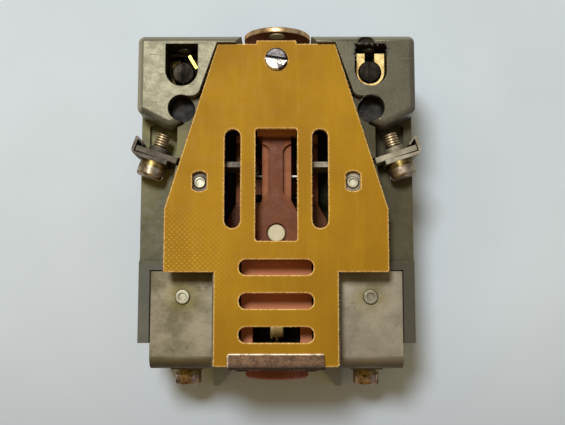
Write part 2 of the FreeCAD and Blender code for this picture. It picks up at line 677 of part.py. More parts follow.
def aux_terminal():
    """Right contact terminal: sloping end, straight bar, riveted foot and inner contact arm."""
    half = AUX_THICK / 2
    slope = aux_frame(-5.6, 4.8, -half, half, AUX_Z[0], AUX_Z[1] - 0.4)
    bar = box(13.6, 24.4, AUX_BAR_Y - half, AUX_BAR_Y + half, AUX_Z[0], AUX_BAR_TOP)
    riser = box(16.0, 21.4, AUX_BAR_Y - half, AUX_BAR_Y + half, AUX_Z[0], DECK - 0.1)
    arm = box(5.0, 13.7, AUX_BAR_Y - half, AUX_BAR_Y + half, 22.5, AUX_BAR_TOP)
    foot = box(16.0, 21.4, 1.8, AUX_BAR_Y, 33.0, DECK - 0.1)
    boss = place(Part.makeCylinder(2.45, 1.3), AUX_POINT - AUX_DIR * (half + 1.3), AUX_DIR)
    body = fuse(slope, bar, riser, arm, foot, boss)
    screw_hole = rod(AUX_SCREW_R + CLEAR, AUX_POINT - AUX_DIR * 6, AUX_POINT + AUX_DIR * 6)
    contact_hole = along_y(0.8, CONTACT_X, CONTACT_Z, AUX_BAR_Y - 2, AUX_BAR_Y + 2)
    rivet_hole = upright(RIVET_R + CLEAR, AUX_RIVET_X, AUX_RIVET_Y, 32, 36)
    return body.cut([screw_hole, contact_hole, rivet_hole])


def aux_terminal_right():
    return aux_terminal()


def aux_terminal_left():
    return mirror(aux_terminal())


def aux_terminal_rivets():
    return both(tube_rivet(AUX_RIVET_X, AUX_RIVET_Y, POLE_CELL_ROOF, DECK - 0.1, 1.45))


def aux_clamp():
    """Clamp of the right contact terminal: plate that lifts off at its outer end, leg and lip bent back."""
    low = AUX_THICK / 2
    high = low + AUX_CLAMP_THICK
    hook = prism([
        (-3.5, low), (-3.5, high), (5.8, high, 1.6), (5.7, -AUX_HOOK, 0.35), (3.2, -1.3),
        (3.4, -0.95), (5.0, -2.2, 0.2), (5.0, low + 0.35, 0.2),
    ], -AUX_Z[1], -LEDGE - 0.4)
    hook = hook.transformGeometry(AUX_MATRIX)
    return hook.cut(rod(AUX_SCREW_R + 0.15, AUX_POINT, AUX_POINT + AUX_DIR * 6))


def aux_clamps():
    return both(aux_clamp())


AUX_WASHER_AT = AUX_POINT + AUX_DIR * (AUX_THICK / 2 + AUX_CLAMP_THICK)

def aux_spring_washers():
    return both(split_washer(AUX_WASHER_AT, AUX_DIR, SPRING_WASHER))


def aux_terminal_screws():
    """Right screw shows its slot on the outer side; the left one's slot lies along its bar."""
    head = cheese_head(M4_HEAD_R, M4_HEAD_H, SLOT_W + 0.2, M4_HEAD_EDGE)
    grip = SPRING_WASHER + AUX_CLAMP_THICK + AUX_THICK / 2
    shank = place(threaded(AUX_SCREW_R, grip + 5.4, AUX_PITCH), V(0, 0, 0.05), V(0, 0, -1))
    screw = head.fuse(shank)
    under_head = AUX_WASHER_AT + AUX_DIR * SPRING_WASHER
    right = place(screw.rotated(V(0, 0, 0), V(0, 0, 1), 84), under_head, AUX_DIR)
    left = place(screw.rotated(V(0, 0, 0), V(0, 0, 1), 6), under_head, AUX_DIR)
    return Part.makeCompound([right, mirror(left)])


def fixed_contacts():
    face = AUX_BAR_Y - AUX_THICK / 2
    contact = along_y(1.5, CONTACT_X, CONTACT_Z, face - 0.6, face)
    stem = along_y(0.75, CONTACT_X, CONTACT_Z, face, AUX_BAR_Y + AUX_THICK / 2 + 0.3)
    return both(contact.fuse(stem))


def contact_bridge():
    """Springy strip that joins the two fixed contacts."""
    strip = box(-8.6, 8.6, 7.2, 7.7, 22.8, 26.3)
    return strip.cut(both(along_y(0.62, CONTACT_X, CONTACT_Z, 6, 9)))


def moving_contacts():
    contact = along_y(1.4, CONTACT_X, CONTACT_Z, 7.7, 8.22)
    return both(contact.fuse(along_y(0.6, CONTACT_X, CONTACT_Z, 7.0, 7.7)))


def bridge_spring():
    return coil(1.3, 0.25, 3, V(0, 5.05, CONTACT_Z), V(0, 7.15, CONTACT_Z))


# ============================================================================================
# trip mechanism
# ============================================================================================
def mechanism_frame():
    """Brown moulding in the centre cell: base, two flared side blocks and the axle's bearings."""
    base = box(-FRAME_HALF, FRAME_HALF, -15.0, 16.0, FLOOR, FLOOR + 2)
    wall = prism([
        (8.8, 19.4), (FRAME_HALF, 19.4, 0.3), (FRAME_HALF, 1.2), (12.9, -3.0), (12.9, -13.6), (8.8, -13.6),
    ], FLOOR, 20.0)
    outer = lambda e: e.Length > 2 and e.CenterOfMass.x > 9.0 and -13.5 < e.CenterOfMass.y < 19.3
    wall = wall.makeFillet(0.3, edges_at(wall, 20.0, outer))
    bearing = box(8.4, FRAME_HALF, 0.4, 5.6, FLOOR, 19.5)
    abutment = box(2.6, 8.9, -12.4, -11.2, FLOOR, 10.5)
    body = fuse(base, wall, mirror(wall), bearing, mirror(bearing), abutment)
    axle_hole = along_x(AXLE_R, PIVOT_Y, PIVOT_Z, -13, 13)
    pin_hole = upright(PIN_R, 0, SWING_Y, 0, 10)
    screw_holes = [upright(1.05, x, FRAME_SCREW_Y, 0, 9) for x in (-FRAME_SCREW_X, FRAME_SCREW_X)]
    return body.cut([axle_hole, pin_hole] + screw_holes)


def frame_screws():
    screws = []
    for x in (-FRAME_SCREW_X, FRAME_SCREW_X):
        head = cheese_head(1.8, 1.2, 0.5).translated(V(x, FRAME_SCREW_Y, FLOOR + 2))
        screws.append(head.fuse(upright(0.85, x, FRAME_SCREW_Y, REAR_SHEET + 0.1, FLOOR + 2)))
    return Part.makeCompound(screws)


def pivot_pin():
    return along_x(AXLE_R, PIVOT_Y, PIVOT_Z, -FRAME_HALF, FRAME_HALF)


def trip_lever():
    """Brown rocker: front plate with an hourglass ridge, two cheeks on the axle, foot and nose."""
    under = LEVER_TOP - LEVER_THICK
    plate = prism(symmetric([
        (4.85, 19.0, 0.3), (4.85, 17.2), (3.6, 17.2), (3.6, 1.0), (8.6, -8.4, 1.5), (8.6, -34.4, 0.8),
        (5.8, -34.4, 0.4), (5.8, -26.4, 0.6),
    ]), under, LEVER_TOP)
    scoop = slot(1.55, 7.0, 1.2, 15.2, 2.4, LEVER_TOP - 1.1, LEVER_TOP + 1)
    rivet_seat = upright(2.5, 0, LEVER_RIVET_Y, LEVER_TOP - 0.7, LEVER_TOP + 1)
    rivet_hole = upright(RIVET_R + CLEAR, 0, LEVER_RIVET_Y, 0, LEVER_TOP + 1)
    plate = plate.cut([scoop, mirror(scoop), rivet_seat, rivet_hole])

    cheek = fuse(
        box(2.2, 3.6, 0.5, 5.5, 14.6, under + 0.2),
        box(2.2, 3.6, 0.5, 9.2, 21.5, under + 0.2),
        box(2.2, 3.6, *TAIL_Y, TAIL_Z[0], 15.0),
    )
    cheek = cheek.cut(box(2.0, 4.0, 6.9, 8.3, 22.6, under))
    spring_seat = box(-2.3, 2.3, 3.2, 5.0, 20.0, under + 0.2)
    foot = box(-3.6, 3.6, *TAIL_Y, *TAIL_Z)
    nose = box(-4.4, -3.2, 17.4, 18.8, 13.5, under + 0.2)
    body = fuse(plate, cheek, mirror(cheek), spring_seat, foot, nose)
    return body.cut(along_x(AXLE_R + CLEAR, PIVOT_Y, PIVOT_Z, -10, 10))


def lever_rivet():
    head = upright(2.15, 0, LEVER_RIVET_Y, LEVER_TOP - 0.7, LEVER_TOP + 0.35)
    head = head.makeFillet(0.3, edges_at(head, LEVER_TOP + 0.35))
    tail = upright(2.0, 0, LEVER_RIVET_Y, LEVER_TOP - LEVER_THICK - 0.8, LEVER_TOP - LEVER_THICK)
    return fuse(head, upright(RIVET_R, 0, LEVER_RIVET_Y, 26, LEVER_TOP - 0.7), tail)


def trip_spring():
    """Drives the lever's foot towards the reset button when the latch lets go."""
    return coil(1.9, 0.3, 7, V(SPRING_X, -11.1, SPRING_Z), V(SPRING_X, 1.9, SPRING_Z))


def pusher_bar():
    """Insulating bar across all three cells, notched for both bimetals and the compensator."""
    bar = box(-26.0, 26.0, *PUSHER_Y, *PUSHER_Z)
    cuts = [box(c - gap, c + gap, PUSHER_Y[0] - 1, BLADE_TIP_Y + 0.35, 0, 30)
            for c, gap in ((-POLE_X, 0.7), (0, 1.4), (POLE_X, 0.7))]
    return bar.cut(cuts)


def compensator():
    """Temperature-compensating bimetal blade with its hub and latch finger."""
    half = BLADE_THICK / 2
    blade = box(-half, half, SWING_Y + 1.6, BLADE_TIP_Y, 10.6, 15.4)
    hub = upright(2.3, 0, SWING_Y, 10.6, 13.6)
    finger = box(-2.5, 0, *SEAR_Y, 14.0, 15.4)
    return fuse(blade, hub, finger).cut(upright(PIN_R + CLEAR, 0, SWING_Y, 0, 20))


def compensator_pin():
    """Pin the compensator and its carrier turn on, with a riveted end."""
    stem = upright(PIN_R, 0, SWING_Y, FLOOR + 0.1, 13.9)
    return fuse(stem, upright(1.5, 0, SWING_Y, 13.75, 14.3))


def setting_carrier():
    """Brass arm moved by the knob's eccentric: hub, arm, fork and the tongue above the fork."""
    hub = upright(2.3, 0, SWING_Y, 8.9, 10.5)
    arm = box(-1.8, 1.8, -33.4, SWING_Y, 8.9, 10.1)
    inner = ECCENTRIC_R + 0.18
    prong = box(inner, inner + 0.5, -32.3, -29.6, 8.9, 22.0)
    tongue = prism(symmetric([(1.75, -28.2), (1.42, -32.6, 0.3)]), 21.4, 22.4)
    body = fuse(hub, arm, prong, mirror(prong), tongue)
    return body.cut(upright(PIN_R + CLEAR, 0, SWING_Y, 0, 20))


# ============================================================================================
# setting knob and reset button
# ============================================================================================
def setting_knob():
    """Brown knurled wheel with a screwdriver slot and a pointer notch."""
    disc = along_y(KNOB_R, 0, SPINDLE_Z, *KNOB_Y)
    face_edge = [e for e in disc.Edges if abs(e.CenterOfMass.y - KNOB_Y[0]) < 0.01]
    disc = disc.makeChamfer(0.6, face_edge)
    hub = along_y(3.2, 0, SPINDLE_Z, KNOB_Y[1], KNOB_Y[1] + 0.5)
    grooves = []
    for i in range(KNOB_TEETH):
        angle = 2 * math.pi * i / KNOB_TEETH
        centre = V(KNOB_R * math.cos(angle), 0, KNOB_R * math.sin(angle) + SPINDLE_Z)
        grooves.append(along_y(KNURL_R, centre.x, centre.z, KNOB_Y[0] - 1, KNOB_Y[1] - 0.3))
    slot_cut = box(-5.0, 5.0, KNOB_Y[0] - 1, KNOB_Y[0] + 0.9, SPINDLE_Z - 0.6, SPINDLE_Z + 0.6)
    pointer = box(-0.4, 0.4, KNOB_Y[0] - 1, KNOB_Y[0] + 0.4, SPINDLE_Z + 4.0, SPINDLE_Z + 7.0)
    bore = along_y(SPINDLE_R, 0, SPINDLE_Z, KNOB_Y[0] + 1.2, KNOB_Y[1] + 1)
    return disc.fuse(hub).cut(grooves + [slot_cut, pointer, bore])


def setting_spindle():
    """Knob's spindle with its eccentric end inside the centre cell."""
    stem = along_y(SPINDLE_R, 0, SPINDLE_Z, KNOB_Y[0] + 1.2, -33.6)
    eccentric = along_y(ECCENTRIC_R, 0, SPINDLE_Z + ECCENTRIC, -33.7, -30.0)
    groove = along_y(SPINDLE_R + 1, 0, SPINDLE_Z, -34.7, -34.1).cut(along_y(1.1, 0, SPINDLE_Z, -35, -34))
    return stem.fuse(eccentric).cut(groove)


def spindle_bush():
    bush = along_y(2.5, 0, SPINDLE_Z, BOTTOM_END, CELL_Y[0])
    flange = along_y(3.6, 0, SPINDLE_Z, BOTTOM_END - 0.8, BOTTOM_END)
    return fuse(bush, flange).cut(along_y(SPINDLE_R + CLEAR, 0, SPINDLE_Z, BOTTOM_END - 2, CELL_Y[0] + 1))


def spindle_clip():
    """Retaining ring in the spindle's groove."""
    ring = along_y(2.7, 0, SPINDLE_Z, -34.6, -34.2).cut(along_y(1.12, 0, SPINDLE_Z, -36, -33))
    return ring.cut(box(-0.9, 0.9, -36, -33, SPINDLE_Z - 4, SPINDLE_Z))


def reset_disc():
    disc = along_y(DISC_R, 0, SPINDLE_Z, *DISC_Y)
    rims = [e for e in disc.Edges if e.Length > 50]
    disc = disc.makeFillet(0.3, rims)
    holes = [along_y(1.2, 0, SPINDLE_Z, 40, 50), along_y(1.0, 0, SPINDLE_Z + 6.0, 40, 50)]
    return disc.cut(holes)


def reset_disc_rivet():
    """Small rivet near the rim, flush on the inner face."""
    z = SPINDLE_Z + 6.0
    inner = along_y(2.0, 0, z, DISC_Y[0] - 0.35, DISC_Y[0])
    stem = along_y(1.0, 0, z, DISC_Y[0], DISC_Y[1])
    outer = along_y(1.5, 0, z, DISC_Y[1], DISC_Y[1] + 0.3)
    return fuse(inner, stem, outer)


def reset_rod():
    """Rod from the reset disc, cranked down to a flat bar that meets the trip lever's foot."""
    stem = along_y(ROD_R, 0, SPINDLE_Z, 27.2, DISC_Y[0])
    tenon = along_y(1.2, 0, SPINDLE_Z, DISC_Y[0], DISC_Y[1])
    upset = along_y(1.9, 0, SPINDLE_Z, DISC_Y[1], DISC_Y[1] + 0.3)
    drop = box(-2.2, 2.2, 26.2, 27.6, TAIL_Z[0], SPINDLE_Z + 1.8)
    bar = box(-2.2, 2.2, TAIL_Y[1] + 0.15, 27.6, *TAIL_Z)
    return fuse(stem, tenon, upset, drop, bar)


# ============================================================================================
MODEL = [
    housing, terminal_cover_left, terminal_cover_right, rear_cover, rear_cover_screws, front_plate,
    front_plate_screw, plate_retainer, retainer_rivets, mounting_inserts,
    load_terminal_left, load_terminal_right, load_terminal_rivets, load_square_washers,
    load_spring_washers, load_terminal_screws, load_terminal_nuts, bimetal_brackets,
    bimetal_left, bimetal_right, heater_sleeve_left, heater_sleeve_right,
    heater_winding_left, heater_winding_right, heater_link_left, heater_link_right,
    line_clamp_left, line_clamp_right, line_clamp_screws, well_plugs, calibration_screws,
    aux_terminal_left, aux_terminal_right, aux_terminal_rivets, aux_clamps, aux_spring_washers,
    aux_terminal_screws, fixed_contacts, contact_bridge, moving_contacts, bridge_spring,
    mechanism_frame, frame_screws, pivot_pin, trip_lever, lever_rivet, trip_spring,
    pusher_bar, compensator, compensator_pin, setting_carrier,
    setting_knob, setting_spindle, spindle_bush, spindle_clip,
    reset_disc, reset_disc_rivet, reset_rod,
]

os.makedirs("parts", exist_ok=True)
for build in MODEL:
    build().exportStep("parts/" + build.__name__ + ".step")
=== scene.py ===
"""Looks of the two-pole overload relay: procedural materials, small mesh pieces, light and camera.

Frame: metres, +Z out of the front plate, +Y towards the reset disc, +X to the right.
"""

import math
import random

import bmesh
import bpy
from mathutils import Matrix, Vector, noise


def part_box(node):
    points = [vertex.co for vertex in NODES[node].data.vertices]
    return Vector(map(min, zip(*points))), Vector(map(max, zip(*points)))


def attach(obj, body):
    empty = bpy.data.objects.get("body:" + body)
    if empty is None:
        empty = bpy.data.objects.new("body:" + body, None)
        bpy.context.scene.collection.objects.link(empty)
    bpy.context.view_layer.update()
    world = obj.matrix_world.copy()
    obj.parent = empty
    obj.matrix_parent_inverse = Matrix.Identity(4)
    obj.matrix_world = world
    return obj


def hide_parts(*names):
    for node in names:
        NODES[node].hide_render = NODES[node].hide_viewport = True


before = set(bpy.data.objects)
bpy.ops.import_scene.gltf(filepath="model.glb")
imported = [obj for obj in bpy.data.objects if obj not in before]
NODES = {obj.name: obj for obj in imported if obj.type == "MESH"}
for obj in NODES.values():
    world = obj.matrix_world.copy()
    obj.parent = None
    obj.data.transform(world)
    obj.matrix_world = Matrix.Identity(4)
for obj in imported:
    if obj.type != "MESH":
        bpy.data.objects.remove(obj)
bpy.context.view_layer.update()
MM = 0.001
X, Y, Z = range(3)
MIX_A, MIX_B, MIX_RESULT = 6, 7, 2       # colour sockets of a Mix node


def corners(node):
    """Lowest and highest corner of a node's box."""
    low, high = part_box(node)
    return Vector(low), Vector(high)


def middle(node):
    """Centre of a node's box."""
    low, high = corners(node)
    return (low + high) / 2


# places and sizes taken from the frame
PLATE_LOW, PLATE_HIGH = corners("front_plate")
COVER_HIGH = corners("terminal_cover_right")[1]
PLUG_LOW, PLUG_HIGH = corners("well_plugs")
WELL_R = (PLUG_HIGH.y - PLUG_LOW.y) / 2
WELL = Vector((PLUG_HIGH.x - WELL_R, PLUG_LOW.y + WELL_R, PLUG_HIGH.z))
POLE_X = WELL.x
RIVET_LOW, RIVET_HIGH = corners("load_terminal_rivets")
RIVET_R = (RIVET_HIGH.y - RIVET_LOW.y) / 2
LOAD_RIVET = Vector((RIVET_HIGH.x - RIVET_R, RIVET_LOW.y + RIVET_R, RIVET_HIGH.z))
TERMINAL_LOW, TERMINAL_HIGH = corners("load_terminal_left")      # the feet lie beyond its low end
LEVER_HIGH = corners("trip_lever")[1]
LEVER_RIVET = middle("lever_rivet")
JAW_TOP = corners("line_clamp_left")[1].z
THREAD_END = corners("aux_terminal_screws")[1].y

WINDOW_R = 3.92 * MM             # half width of the window in each terminal cover
WINDOW_TOP = COVER_HIGH.y - 2.1 * MM
DENT = Vector((POLE_X - 1.2 * MM, WINDOW_TOP, COVER_HIGH.z))
LEFT_RECESS = Vector((-28, 14, 28)) * MM         # beside the left contact screw
WEAVE_PITCH = 1.24 * MM          # spacing of the laminate's threads


# ============================================================================================
# node graph helpers
# ============================================================================================
class Look:
    """A node material under construction. Sockets and plain values can both be passed as inputs."""

    def __init__(self, name):
        self.material = bpy.data.materials.new(name)
        self.material.use_nodes = True
        self.tree = self.material.node_tree
        self.shader = self.tree.nodes["Principled BSDF"]
        self.point = self.add("ShaderNodeTexCoord").outputs["Object"]

    def add(self, kind, inputs=None, **settings):
        node = self.tree.nodes.new(kind)
        for key, value in settings.items():
            setattr(node, key, value)
        for key, value in (inputs or {}).items():
            self.feed(node.inputs[key], value)
        return node

    def feed(self, socket, value):
        if isinstance(value, bpy.types.NodeSocket):
            self.tree.links.new(value, socket)
        elif isinstance(value, (tuple, list)) and len(value) == 3 and socket.type == "RGBA":
            socket.default_value = (*value, 1.0)
        else:
            socket.default_value = value

    def math(self, operation, a, b=0.0):
        return self.add("ShaderNodeMath", {0: a, 1: b}, operation=operation).outputs[0]

    def times(self, *factors):
        product = factors[0]
        for factor in factors[1:]:
            product = self.math("MULTIPLY", product, factor)
        return product

    def axes(self):
        return self.add("ShaderNodeSeparateXYZ", {0: self.point}).outputs

    def stretched(self, scale_x, scale_y, scale_z):
        scale = (scale_x, scale_y, scale_z)
        return self.add("ShaderNodeMapping", {"Vector": self.point, "Scale": scale}).outputs[0]

    def noise(self, size, detail=4.0, rough=0.55, vector=None):
        """Noise whose features are about size metres wide."""
        inputs = {"Vector": vector or self.point, "Scale": 1.0 / size, "Detail": detail, "Roughness": rough}
        return self.add("ShaderNodeTexNoise", inputs).outputs["Fac"]

    def ramp(self, factor, low, high, out_low=0.0, out_high=1.0):
        inputs = {"Value": factor, "From Min": low, "From Max": high, "To Min": out_low, "To Max": out_high}
        return self.add("ShaderNodeMapRange", inputs, interpolation_type="SMOOTHSTEP").outputs[0]

    def mix(self, factor, a, b):
        node = self.add("ShaderNodeMix", data_type="RGBA")
        self.feed(node.inputs[0], factor)
        self.feed(node.inputs[MIX_A], a)
        self.feed(node.inputs[MIX_B], b)
        return node.outputs[MIX_RESULT]

    def near(self, place, reach, core=0.0, scale=(1, 1, 1)):
        """1 within core metres of a place, fading to 0 at reach metres."""
        scaled = Vector(p * s for p, s in zip(place, scale))
        inputs = {0: self.stretched(*scale), 1: tuple(scaled)}
        distance = self.add("ShaderNodeVectorMath", inputs, operation="DISTANCE").outputs["Value"]
        return self.ramp(distance, reach, core)

    def edge(self, radius):
        """1 near sharp edges, within about radius metres, and 0 on flat faces."""
        rounded = self.add("ShaderNodeBevel", {"Radius": radius}, samples=6).outputs[0]
        true = self.add("ShaderNodeNewGeometry").outputs["True Normal"]
        dot = self.add("ShaderNodeVectorMath", {0: rounded, 1: true}, operation="DOT_PRODUCT")
        return self.ramp(dot.outputs["Value"], 0.995, 0.80)

    def crevice(self, distance):
        """1 in corners and gaps, 0 on open faces."""
        open_share = self.add("ShaderNodeAmbientOcclusion", {"Distance": distance}, samples=8).outputs["AO"]
        return self.ramp(open_share, 0.85, 0.25)

    def facing(self, axis=Z):
        """One component of the surface normal."""
        normal = self.add("ShaderNodeNewGeometry").outputs["Normal"]
        return self.add("ShaderNodeSeparateXYZ", {0: normal}).outputs[axis]

    def finish(self, colour, rough, metal=0.0, bump=None, depth=0.00005, round_edges=0.0, **more):
        self.feed(self.shader.inputs["Base Color"], colour)
        self.feed(self.shader.inputs["Roughness"], rough)
        self.feed(self.shader.inputs["Metallic"], metal)
        for key, value in more.items():
            self.feed(self.shader.inputs[key.replace("_", " ")], value)
        normal = None
        if round_edges:
            normal = self.add("ShaderNodeBevel", {"Radius": round_edges}, samples=6).outputs[0]
        if bump is not None:
            node = self.add("ShaderNodeBump", {"Height": bump, "Distance": depth, "Strength": 1.0})
            if normal:
                self.feed(node.inputs["Normal"], normal)
            normal = node.outputs[0]
        if normal:
            self.feed(self.shader.inputs["Normal"], normal)
        return self.material


def srgb(r, g, b):
    """Linear colour from 8-bit display values."""
    return tuple(((c / 255) / 12.92 if c <= 10 else ((c / 255 + 0.055) / 1.055) ** 2.4) for c in (r, g, b))


# ============================================================================================
# materials
# ============================================================================================
def laminate():
    """Varnished woven laminate: amber face with painted shade towards its low end, staggered pale thread
    knots, pale broken cut edges.
    """
    look = Look("laminate")
    x, y, _ = look.axes()
    broad = look.noise(0.020, 3)
    colour = look.mix(look.ramp(broad, 0.35, 0.68), srgb(158, 110, 8), srgb(176, 127, 14))
    colour = look.mix(look.ramp(look.noise(0.005, 5), 0.5, 0.75, 0, 0.4), colour, srgb(154, 102, 10))
    streak = look.noise(0.0022, 3, vector=look.stretched(1, 0.12, 1))
    colour = look.mix(look.ramp(streak, 0.45, 0.7, 0, 0.25), colour, srgb(188, 140, 22))
    # painted shade: the face darkens towards the plate's low end, as if less light reached it
    colour = look.mix(look.ramp(y, 0.0, PLATE_LOW.y, 0.0, 0.45), colour, srgb(134, 92, 8))

    # the cloth's threads: a fine grid everywhere, and pale knots where the varnish is worn
    turns = math.tau / WEAVE_PITCH
    weave = look.times(look.math("COSINE", look.times(x, turns)), look.math("COSINE", look.times(y, turns)))
    lines_x = look.ramp(look.math("COSINE", look.times(x, 2 * turns)), 0.5, 1.0)
    lines_y = look.ramp(look.math("COSINE", look.times(y, 2 * turns)), 0.5, 1.0)
    grid = look.math("MAXIMUM", lines_x, lines_y)
    colour = look.mix(look.times(grid, look.ramp(look.noise(0.007, 2), 0.35, 0.7, 0.03, 0.16)),
                      colour, srgb(138, 92, 16))
    worn_corner = (PLATE_LOW.x, PLATE_LOW.y + 0.3 * (PLATE_HIGH.y - PLATE_LOW.y), PLATE_HIGH.z)
    worn = look.near(worn_corner, 19 * MM, 6 * MM)
    patch = look.math("MAXIMUM", worn, look.ramp(look.noise(0.009, 2), 0.52, 0.75, 0.02, 0.16))
    uneven = look.ramp(look.noise(0.0011, 2), 0.3, 0.6, 0.3, 1.0)
    knots = look.times(look.ramp(weave, 0.45, 0.95), patch, uneven)
    colour = look.mix(look.times(knots, 0.6), colour, srgb(226, 182, 84))
    colour = look.mix(look.times(look.ramp(weave, -0.5, -0.95), 0.15), colour, srgb(136, 92, 18))

    fibre = look.noise(0.0005, 3)
    pale = look.mix(look.ramp(fibre, 0.35, 0.65), srgb(206, 146, 62), srgb(255, 212, 132))
    rim = look.ramp(look.facing(), 0.97, 0.75)
    chipped = look.times(look.edge(0.00055), look.ramp(look.noise(0.0009, 4), 0.38, 0.55, 0.35, 1.0))
    colour = look.mix(look.math("MAXIMUM", look.times(rim, 0.9), chipped), colour, pale)
    rough = look.ramp(look.noise(0.003, 4), 0.3, 0.7, 0.5, 0.6)
    height = look.math("ADD", look.times(weave, patch, 0.3), look.noise(0.0008, 4))
    return look.finish(colour, rough, bump=height, depth=0.00003, round_edges=0.0001,
                       Specular_IOR_Level=0.08)


def disc_painted_reflection():
    """Plated disc: a painted dark brown reflection of the shaded surroundings on both faces, a painted
    highlight on the rim, dark pits.
    """
    look = Look("disc_painted_reflection")
    # painted light: the faces take the dark brown painted reflection, the rim takes the pale painted
    # highlight
    rim = look.ramp(look.math("ABSOLUTE", look.facing(Y)), 0.95, 0.6)
    face = look.mix(look.ramp(look.noise(0.004, 5), 0.3, 0.7), srgb(82, 34, 4), srgb(116, 56, 12))
    bright = look.mix(look.ramp(look.noise(0.0025, 4), 0.35, 0.65), srgb(140, 104, 66), srgb(206, 172, 128))
    pits = look.ramp(look.noise(0.0008, 4), 0.6, 0.7, 0, 0.6)
    colour = look.mix(pits, look.mix(rim, face, bright), srgb(84, 52, 26))
    rough = look.ramp(look.noise(0.002, 4), 0.3, 0.7, 0.28, 0.46)
    return look.finish(colour, rough, 0.75, bump=look.noise(0.0006, 4), depth=0.00002, round_edges=0.0002,
                       Specular_Tint=(1.0, 0.5, 0.2, 1.0))


def moulding(name, dark, light, worn, rough_low=0.5, rough_high=0.7, corner_shade=0.35, stain=None,
             patches=(), **more):
    """Moulded plastic: mottled colour, stains, rubbed edges, painted shade in corners and gaps, fine
    scratches.

    Each patch is a function that makes a mask, and the colour that the mask lays on. Patches are matt.
    """
    look = Look(name)
    colour = look.mix(look.ramp(look.noise(0.009, 5), 0.3, 0.7), dark, light)
    if stain:
        blots = look.ramp(look.noise(0.0042, 5), 0.54, 0.68)
        broken = look.ramp(look.noise(0.0015, 3), 0.3, 0.6)
        colour = look.mix(look.times(blots, broken, 0.5), colour, stain)
    colour = look.mix(look.ramp(look.noise(0.0007, 3), 0.60, 0.75, 0, 0.3), colour, worn)
    scratch = look.noise(0.0012, 2, vector=look.stretched(0.16, 2.2, 1))
    scratches = look.ramp(scratch, 0.66, 0.72, 0, 0.25)
    colour = look.mix(scratches, colour, worn)
    rubbed = look.times(look.edge(0.00025), look.ramp(look.noise(0.0025, 4), 0.35, 0.65))
    colour = look.mix(look.times(rubbed, 0.5), colour, worn)
    rough = look.ramp(look.noise(0.002, 4), 0.3, 0.7, rough_low, rough_high)
    for make_mask, tint in patches:
        mask = make_mask(look)
        colour = look.mix(mask, colour, tint)
        rough = look.math("ADD", rough, look.times(mask, 0.4))
    # painted shade: corners and gaps darkened where shade falls
    colour = look.mix(look.times(look.crevice(0.0015), corner_shade), colour, srgb(46, 38, 24))
    height = look.math("ADD", look.noise(0.0005, 4), look.times(scratches, -1.5))
    return look.finish(colour, rough, bump=height, depth=0.00003, round_edges=0.0002, **more)


def metal(name, dark, light, stain, rough_low=0.28, rough_high=0.5, grain=(1, 1, 1), stain_share=0.5,
          rubbed_share=0.55, cloud_size=0.004, patches=()):
    """Plated or bare metal: clouded colour, drawn grain, stains, painted shade in corners and gaps, bright
    rubbed edges and patches.
    """
    look = Look(name)
    cloud = look.noise(cloud_size, 5)
    colour = look.mix(look.ramp(cloud, 0.3, 0.7), dark, light)
    lines = look.noise(0.0009, 3, vector=look.stretched(*grain))
    colour = look.mix(look.ramp(lines, 0.45, 0.7, 0, 0.4), colour, light)
    spots = look.ramp(look.noise(0.0013, 5, 0.7), 0.56, 0.72, 0, stain_share)
    colour = look.mix(spots, colour, stain)
    for make_mask, tint in patches:
        colour = look.mix(make_mask(look), colour, tint)
    # painted shade: the stain colour laid into corners and gaps where shade falls
    colour = look.mix(look.times(look.crevice(0.0012), 0.7), colour, stain)
    rubbed = look.times(look.edge(0.0002), look.ramp(look.noise(0.0015, 3), 0.3, 0.6))
    bright = tuple(min(1.0, 1.5 * c + 0.12) for c in light)
    colour = look.mix(look.times(rubbed, rubbed_share), colour, bright)
    rough = look.math("ADD", look.ramp(cloud, 0.3, 0.7, rough_high, rough_low), look.times(spots, 0.3))
    height = look.math("ADD", lines, spots)
    return look.finish(colour, rough, 1.0, bump=height, depth=0.00002, round_edges=0.00015)


def stain_round(place, reach, strength):
    """Mask of an uneven stain round a place."""
    def mask(look):
        uneven = look.ramp(look.noise(0.003, 4), 0.25, 0.6, 0.3, 1.0)
        return look.times(look.near(place, reach, 0.2 * reach), uneven, strength)
    return mask


def beyond(axis, start, end, strength=1.0):
    """Mask that rises from start to end along one axis."""
    return lambda look: look.ramp(look.axes()[axis], start, end, 0.0, strength)


def upright_faces(strength=1.0):
    """Mask of the faces that stand upright, such as the outer walls."""
    return lambda look: look.ramp(look.math("ABSOLUTE", look.facing()), 0.7, 0.3, 0.0, strength)


def lever_cheeks(look):
    """Mask of the trip lever's hollowed sides, left and right of its spine."""
    x, y, _ = look.axes()
    across = look.ramp(look.math("ABSOLUTE", x), 1.6 * MM, 2.6 * MM)
    from_below = look.ramp(y, LEVER_HIGH.y - 18.5 * MM, LEVER_HIGH.y - 16.5 * MM)
    from_above = look.ramp(y, LEVER_HIGH.y - 2.5 * MM, LEVER_HIGH.y - 4.0 * MM)
    along = look.times(from_below, from_above)
    return look.times(across, along, look.ramp(look.noise(0.003, 3), 0.2, 0.6, 0.5, 0.9))


def inside_well(side):
    """Mask of the wall of one well."""
    place = (side * WELL.x, WELL.y, 0)
    return lambda look: look.near(place, WELL_R + 0.2 * MM, WELL_R + 0.06 * MM, (1, 1, 0))


def inside_window(side):
    """Mask of the walls of one cover's window."""
    def mask(look):
        x, y, _ = look.axes()
        off = look.math("ABSOLUTE", look.math("SUBTRACT", x, side * POLE_X))
        across = look.ramp(off, WINDOW_R + 0.15 * MM, WINDOW_R + 0.03 * MM)
        top = look.ramp(y, WINDOW_TOP + 0.15 * MM, WINDOW_TOP + 0.03 * MM)
        low = look.ramp(y, WELL.y + 3.5 * MM, WELL.y + 3.8 * MM)
        return look.times(across, top, upright_faces()(look), low)
    return mask


def opening_wall_shade():
    """Painted shade on the walls of the wells and windows."""
    wells = [(inside_well(side), srgb(26, 22, 17)) for side in (-1, 1)]
    return wells + [(inside_window(side), srgb(44, 32, 22)) for side in (-1, 1)]


